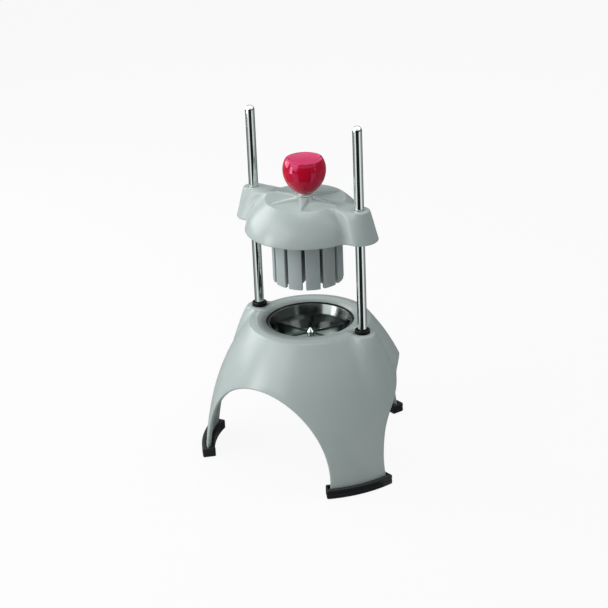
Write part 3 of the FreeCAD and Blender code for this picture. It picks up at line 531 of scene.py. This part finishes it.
def foot_stations(turn):
    """Where a foot's section stands along its arc, and at what scale: smaller towards the rounded ends."""
    middle, half = (FOOT_INNER + FOOT_OUTER) / 2, (FOOT_OUTER - FOOT_INNER) / 2
    round_angle = math.degrees(FOOT_ROUNDING / middle)
    inside = FOOT_HALF_ANGLE - round_angle
    stations = []
    for k in range(FOOT_ROUND_STEPS):
        swing = math.pi / 2 * k / FOOT_ROUND_STEPS
        angle = turn - FOOT_HALF_ANGLE + round_angle * (1 - math.cos(swing))
        stations.append((angle, 1 - FOOT_ROUNDING / half * (1 - math.sin(swing))))
    far_end = [(2 * turn - angle, scale) for angle, scale in reversed(stations)]
    stations += [(turn - inside + 2 * inside * k / FOOT_STEPS, 1.0) for k in range(FOOT_STEPS + 1)]
    return stations + far_end


def make_feet():
    """Rubber channels: a grooved block with rounded ends, less the socket that the leg stands in."""
    for node, turn in LEGS.items():
        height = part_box(node)[1].z / MM

        def block(work):
            section = foot_section(height)
            centre = Vector(((FOOT_INNER + FOOT_OUTER) / 2, height / 2))
            rings = []
            for angle, scale in foot_stations(turn):
                way = Vector((math.cos(math.radians(angle)), math.sin(math.radians(angle))))
                ring = []
                for point in section:
                    r, z = centre + (point - centre) * scale
                    ring.append(work.verts.new(Vector((way.x * r, AXIS_BACK + way.y * r, z)) * MM))
                rings.append(ring)
            stitched(work, rings, True, False)
            capped(work, rings)

        def socket(work):
            channel = [
                (SOCKET_INNER, SOCKET_FLOOR, 0.4), (SOCKET_OUTER, SOCKET_FLOOR, 0.4), (SOCKET_OUTER, SOCKET_TOP),
                (SOCKET_INNER, SOCKET_TOP),
            ]
            lathe(work, channel, segments=24, span=(turn - SOCKET_HALF_ANGLE, turn + SOCKET_HALF_ANGLE))

        mesh = less(mesh_of(node + "_block", block), mesh_of(node + "_socket", socket), node + "_pad")
        made(node + "_pad", mesh, RUBBER, "base", "black_rubber", node)


def less(mesh, tool, name):
    """The mesh less another one."""
    base, cutter = (bpy.data.objects.new(part.name, part) for part in (mesh, tool))
    for item in (base, cutter):
        bpy.context.collection.objects.link(item)
    cut = base.modifiers.new("cut", "BOOLEAN")
    cut.operation, cut.object, cut.solver = "DIFFERENCE", cutter, "EXACT"
    bpy.context.view_layer.update()
    result = bpy.data.meshes.new_from_object(base.evaluated_get(bpy.context.evaluated_depsgraph_get()))
    result.name = name
    for item in (base, cutter):
        bpy.data.objects.remove(item)
    smooth(result, 40)
    return result


make_rods()
make_bumpers()
make_knob()
make_collar()
make_rings()
make_plunger()
make_feet()

for node, material in {
    "rod_washers": ZINC, "rod_nuts": ZINC, "blade_hub": BLADE, "clamp_ring": BLADE,
    "clamp_screws": ZINC, "guide_bush_right": NYLON, "guide_bush_left": NYLON, "plunger_screws": ZINC,
    "knob_insert": BRASS, "knob_stud": ZINC, "stud_washer": ZINC, "stud_nut": ZINC,
    **{"wedge_blade_%d" % k: BLADE for k in range(1, 7)},
}.items():
    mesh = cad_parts[node].data
    mesh.materials.clear()
    mesh.materials.append(material)


# ---- stage, light and camera


CAMERA_TURN, CAMERA_RISE, CAMERA_ROLL = 37.6177, 23.8316, -2.33
CAMERA_AIM, CAMERA_AWAY = (-0.1085, 0, 2.4427), 28.7393  # from the press axis, in half spacings of the rods
CAMERA_LENS = 1840.09 / 608  # in widths of the sensor
VIEW_BEARING = CAMERA_TURN - 90  # where the camera stands, seen from the press axis, in degrees from +X
FLOOR_HALF = 12.0  # in metres
FLOOR_GLOW = 0.92  # how much of the floor is plain white to the eye, the rest being lit
BACKDROP = 0.95
FILL_COLOUR, FILL_STRENGTH = (0.93, 0.96, 1.0, 1.0), 0.385
CARD_STEPS = 48
LAMP_AIM = (0.0, AXIS_BACK, 240.0)


def studio_piece(name, edit, material):
    """A piece of the studio, made by an edit of an empty mesh."""
    work = bmesh.new()
    edit(work)
    mesh = bpy.data.meshes.new(name)
    work.to_mesh(mesh)
    work.free()
    mesh.materials.append(material)
    item = bpy.data.objects.new(name, mesh)
    bpy.context.collection.objects.link(item)
    return item


def make_floor():
    """A pale floor, plain white to the eye but for the object's shadow."""
    n = Nodes("floor_white")
    glow_share = n.maths("MULTIPLY", n.unlit(), FLOOR_GLOW)
    matt = n.add("BsdfDiffuse", Color=(0.6, 0.6, 0.6, 1.0))
    glow = n.add("Emission", Color=(1, 1, 1, 1), Strength=1.0)
    material = n.shade(n.shared(glow_share, matt, glow))

    def edit(work):
        bmesh.ops.create_grid(work, x_segments=2, y_segments=2, size=FLOOR_HALF)

    floor = studio_piece("floor", edit, material)


def card(name, bearing, half_width, tone, *stops):
    """A card round the press axis, swept through the stops (out, up) and seen in reflections alone."""

    def edit(work):
        rows = []
        for k in range(CARD_STEPS + 1):
            angle = math.radians(bearing + half_width * (2 * k / CARD_STEPS - 1))
            way = Vector((math.cos(angle), math.sin(angle), 0))
            rows.append([work.verts.new((way * out + Vector((0, AXIS_BACK, up))) * MM) for out, up in stops])
        for one, two in zip(rows, rows[1:]):
            for i in range(len(stops) - 1):
                work.faces.new((one[i], one[i + 1], two[i + 1], two[i]))

    n = Nodes(name)
    material = n.shade(n.add("Emission", Color=(*tone, 1.0), Strength=1.0))
    item = studio_piece(name, edit, material)
    item.visible_camera = item.visible_diffuse = item.visible_transmission = False
    item.visible_shadow = item.visible_volume_scatter = False


def make_world():
    """Pale blue fill light, and a white backdrop to the eye."""
    n = Nodes("studio", world=True)
    fill = n.add("Background", Color=FILL_COLOUR, Strength=FILL_STRENGTH)
    backdrop = n.add("Background", Color=(BACKDROP, BACKDROP, BACKDROP, 1), Strength=1.0)
    bpy.context.scene.world = n.shade(n.shared(n.unlit(), fill, backdrop), "OutputWorld")


def lamp(name, bearing, out, up, size, power):
    """An area lamp out from the press axis, turned to the middle of the press. Its size is in metres."""
    light = bpy.data.lights.new(name, "AREA")
    light.shape = "RECTANGLE"
    light.size, light.size_y = size
    light.energy = power
    turn = math.radians(bearing)
    position = Vector((out * math.cos(turn), AXIS_BACK + out * math.sin(turn), up)) * MM
    item = bpy.data.objects.new(name, light)
    item.location = position
    item.rotation_euler = (Vector(LAMP_AIM) * MM - position).to_track_quat("-Z", "Y").to_euler()
    bpy.context.collection.objects.link(item)


def make_camera():
    """The photograph's angle and frame."""
    half_spacing = ROD_ACROSS * MM
    turn, rise, roll = (math.radians(a) for a in (CAMERA_TURN, CAMERA_RISE, CAMERA_ROLL))
    back = Vector((math.sin(turn) * math.cos(rise), -math.cos(turn) * math.cos(rise), math.sin(rise)))
    right = Vector((math.cos(turn), math.sin(turn), 0))
    up = back.cross(right)
    across = math.cos(roll) * right + math.sin(roll) * up
    upward = -math.sin(roll) * right + math.cos(roll) * up
    camera = bpy.data.cameras.new("camera")
    camera.lens = CAMERA_LENS * camera.sensor_width
    item = bpy.data.objects.new("camera", camera)
    axes = Matrix((across, upward, back)).transposed()
    aim = Vector(CAMERA_AIM) * half_spacing + Vector((0, AXIS_BACK * MM, 0))
    item.matrix_world = Matrix.Translation(aim + back * CAMERA_AWAY * half_spacing) @ axes.to_4x4()
    bpy.context.collection.objects.link(item)
    bpy.context.scene.camera = item


make_floor()
make_world()
make_camera()

# Dark and grey cards give the chromed rods their stripes, and the bowl and the deck their depth.
card("dark_front", VIEW_BEARING, 35, (0.014, 0.019, 0.018), (20, 2), (1850, 2), (1850, 1100))
card("dim_behind", VIEW_BEARING + 180, 72, (0.15, 0.165, 0.16), (20, 2), (1900, 2))
card("half_behind", VIEW_BEARING + 180, 112, (0.34, 0.36, 0.355), (20, 1), (1900, 1))
card("dim_round", VIEW_BEARING, 180, (0.16, 0.18, 0.175), (1900, 2), (1900, 1050))
# A bright one above lights the upper edges, and one to the left is the window on the knob.
card("bright_above", VIEW_BEARING, 180, (6.2, 6.7, 6.6), (5, 1500), (380, 1500))
card("window_left", VIEW_BEARING - 74, 7, (9.0, 9.0, 9.0), (1300, 60), (1300, 700))

lamp("key", VIEW_BEARING - 62, 1300, 980, (1.2, 1.1), 13.5)
lamp("side", VIEW_BEARING - 118, 1200, 780, (0.9, 0.9), 11.5)
lamp("top", VIEW_BEARING + 90, 800, 1400, (1.2, 0.9), 6.2)
bpy.context.scene.view_settings.view_transform = "Standard"
